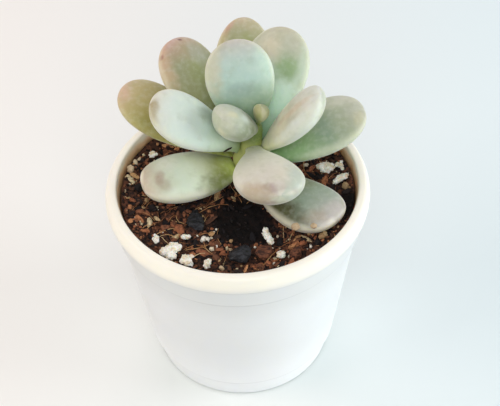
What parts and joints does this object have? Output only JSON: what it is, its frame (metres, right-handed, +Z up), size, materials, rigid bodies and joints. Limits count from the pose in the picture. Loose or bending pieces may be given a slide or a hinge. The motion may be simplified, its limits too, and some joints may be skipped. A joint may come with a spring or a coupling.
{
  "type": "potted moonstone plant",
  "caption": "Small succulent with a rosette of plump, pale oval leaves on a short leaning stem, rooted in a tapered round nursery pot of gritty dark soil.",
  "frame": {"origin": "centre of the pot's flat underside, on the pot's axis, where the pot stands on the table", "axes": "+Z up along the pot's axis, -Y towards the front of the plant as pictured, +X to its right"},
  "size_m": [0.08, 0.0851, 0.1088],
  "materials": {
    "pot_plastic": "smooth off-white injection-moulded plastic, slightly soiled inside the rim",
    "soil": "loose, crumbly, very dark brown potting soil, matt",
    "stem_green": "fleshy green stem with leaf scars, matt",
    "leaf_skin": "plump leaf under a powdery pale wax bloom, satin to matt",
    "perlite": "rough off-white expanded mineral grain, matt",
    "bark": "rough reddish-brown bark chip, matt",
    "charcoal": "blue-black horticultural charcoal, dull with faint sheen"
  },
  "bodies": {
    "root": {"pot": "pot_plastic", "soil": "soil", "stem": "stem_green", "leaf_front_right": "leaf_skin", "leaf_left": "leaf_skin", "leaf_back": "leaf_skin", "leaf_right": "leaf_skin", "leaf_far_left": "leaf_skin", "leaf_back_left": "leaf_skin", "leaf_back_right": "leaf_skin", "leaf_front": "leaf_skin", "leaf_upper_right": "leaf_skin", "leaf_upper_left": "leaf_skin", "leaf_upper_back": "leaf_skin", "leaf_crown": "leaf_skin", "leaf_bud": "leaf_skin", "perlite_big": "perlite", "perlite_round": "perlite", "perlite_tall": "perlite", "perlite_hooked": "perlite", "perlite_front": "perlite", "perlite_left": "perlite", "perlite_middle": "perlite", "perlite_right": "perlite", "perlite_right_small": "perlite", "perlite_right_long": "perlite", "perlite_far_left": "perlite", "bark_front": "bark", "bark_right": "bark", "charcoal_front": "charcoal", "charcoal_left": "charcoal"}
  },
  "joints": []
}
